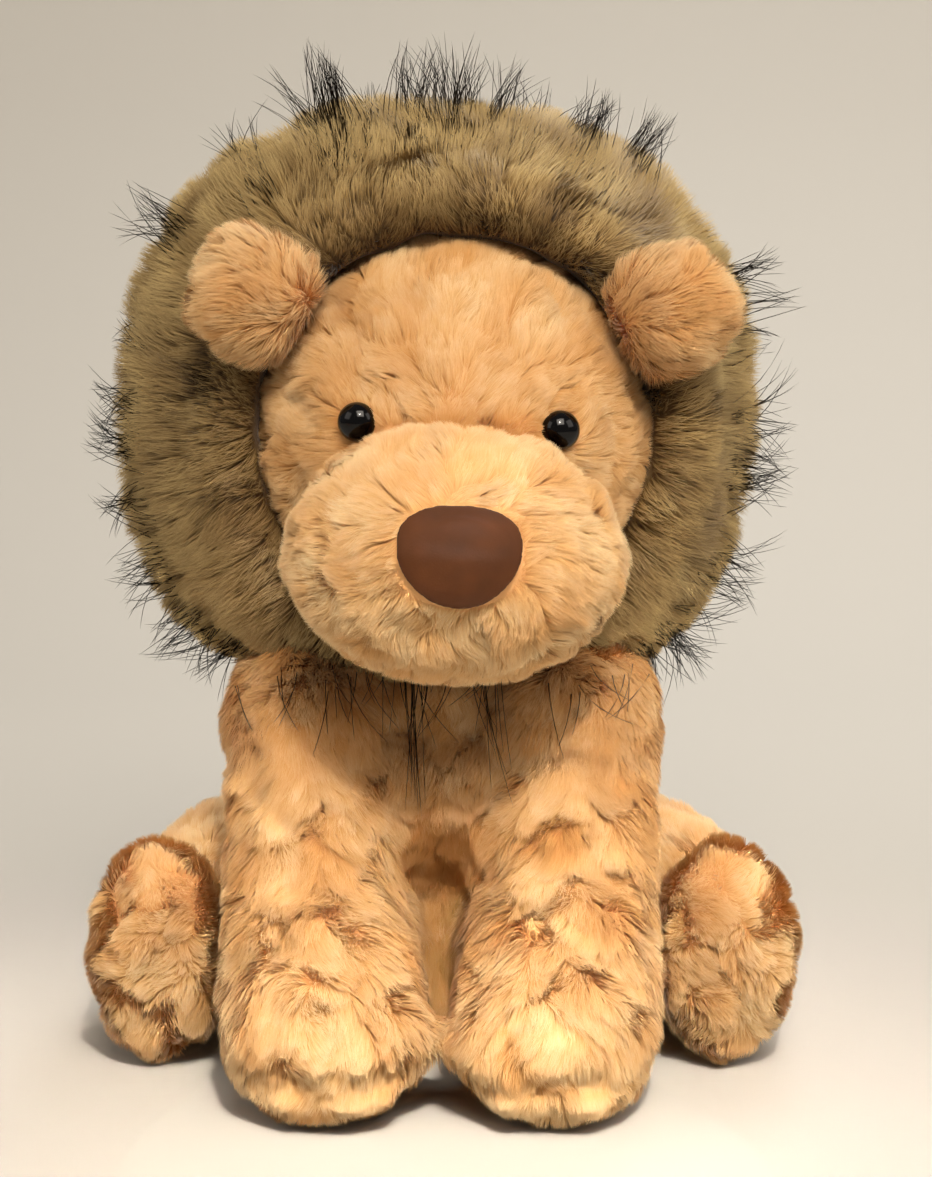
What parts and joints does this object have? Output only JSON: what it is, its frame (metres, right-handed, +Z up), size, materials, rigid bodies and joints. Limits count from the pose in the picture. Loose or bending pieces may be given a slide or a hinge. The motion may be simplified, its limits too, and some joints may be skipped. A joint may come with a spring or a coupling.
{
  "type": "plush lion",
  "caption": "Seated plush lion with a long-pile mane round its face; its head nods, its ears fold and its legs and tail swing at their seams.",
  "frame": {"origin": "on the ground, under the middle of the whole toy's bounding box", "axes": "+Z up, the lion faces -Y, its own left side is at +X"},
  "size_m": [0.2098, 0.2044, 0.2792],
  "materials": {
    "apricot_plush": "matte pile",
    "pale_apricot_plush": "matte pile",
    "khaki_long_pile_fur": "long pile",
    "brown_suede": "satin suede",
    "black_eye_plastic": "gloss",
    "white_washer_plastic": "matte",
    "white_polyester_fibre": "matte",
    "pellet_bag_cotton": "matte"
  },
  "bodies": {
    "torso": {"torso_skin": "apricot_plush", "torso_stuffing": "white_polyester_fibre", "pellet_bag": "pellet_bag_cotton"},
    "head": {"head_skin": "apricot_plush", "head_stuffing": "white_polyester_fibre", "muzzle_skin": "pale_apricot_plush", "muzzle_stuffing": "white_polyester_fibre", "nose_patch": "brown_suede", "left_eye": "black_eye_plastic", "right_eye": "black_eye_plastic", "left_eye_washer": "white_washer_plastic", "right_eye_washer": "white_washer_plastic", "mane_ring": "khaki_long_pile_fur", "mane_hood": "khaki_long_pile_fur"},
    "left_ear": {"left_ear": "pale_apricot_plush"},
    "right_ear": {"right_ear": "pale_apricot_plush"},
    "left_foreleg": {"left_foreleg_skin": "apricot_plush", "left_foreleg_stuffing": "white_polyester_fibre"},
    "right_foreleg": {"right_foreleg_skin": "apricot_plush", "right_foreleg_stuffing": "white_polyester_fibre"},
    "left_hind_leg": {"left_hind_leg_skin": "apricot_plush", "left_hind_leg_stuffing": "white_polyester_fibre"},
    "right_hind_leg": {"right_hind_leg_skin": "apricot_plush", "right_hind_leg_stuffing": "white_polyester_fibre"},
    "tail": {"tail": "apricot_plush", "tail_tuft": "khaki_long_pile_fur"}
  },
  "joints": [
    {"name": "neck_nod", "type": "hinge", "parent": "torso", "child": "head", "pos_m": [0, 0.01171, 0.106], "axis": [0.9987, 0.0262, -0.0436], "range_deg": [-8, 6]},
    {"name": "left_ear_fold", "type": "hinge", "parent": "head", "child": "left_ear", "pos_m": [0.04849, -0.01913, 0.21093], "axis": [0.5142, 0.0144, -0.8576], "range_deg": [0, 20]},
    {"name": "right_ear_fold", "type": "hinge", "parent": "head", "child": "right_ear", "pos_m": [-0.03749, -0.02139, 0.21468], "axis": [0.5869, 0.0144, 0.8095], "range_deg": [0, 20]},
    {"name": "left_foreleg_swing", "type": "hinge", "parent": "torso", "child": "left_foreleg", "pos_m": [0.036, -0.01429, 0.09], "axis": [-1, 0, 0], "range_deg": [0, 15]},
    {"name": "right_foreleg_swing", "type": "hinge", "parent": "torso", "child": "right_foreleg", "pos_m": [-0.036, -0.01429, 0.09], "axis": [-1, 0, 0], "range_deg": [0, 15]},
    {"name": "left_hind_leg_lift", "type": "hinge", "parent": "torso", "child": "left_hind_leg", "pos_m": [0.051, 0.02571, 0.034], "axis": [-1, 0, 0], "range_deg": [0, 10]},
    {"name": "right_hind_leg_lift", "type": "hinge", "parent": "torso", "child": "right_hind_leg", "pos_m": [-0.051, 0.02571, 0.034], "axis": [-1, 0, 0], "range_deg": [0, 10]},
    {"name": "tail_swing", "type": "hinge", "parent": "torso", "child": "tail", "pos_m": [0, 0.0675, 0.02], "axis": [0, 0, 1], "range_deg": [-10, 30]}
  ]
}
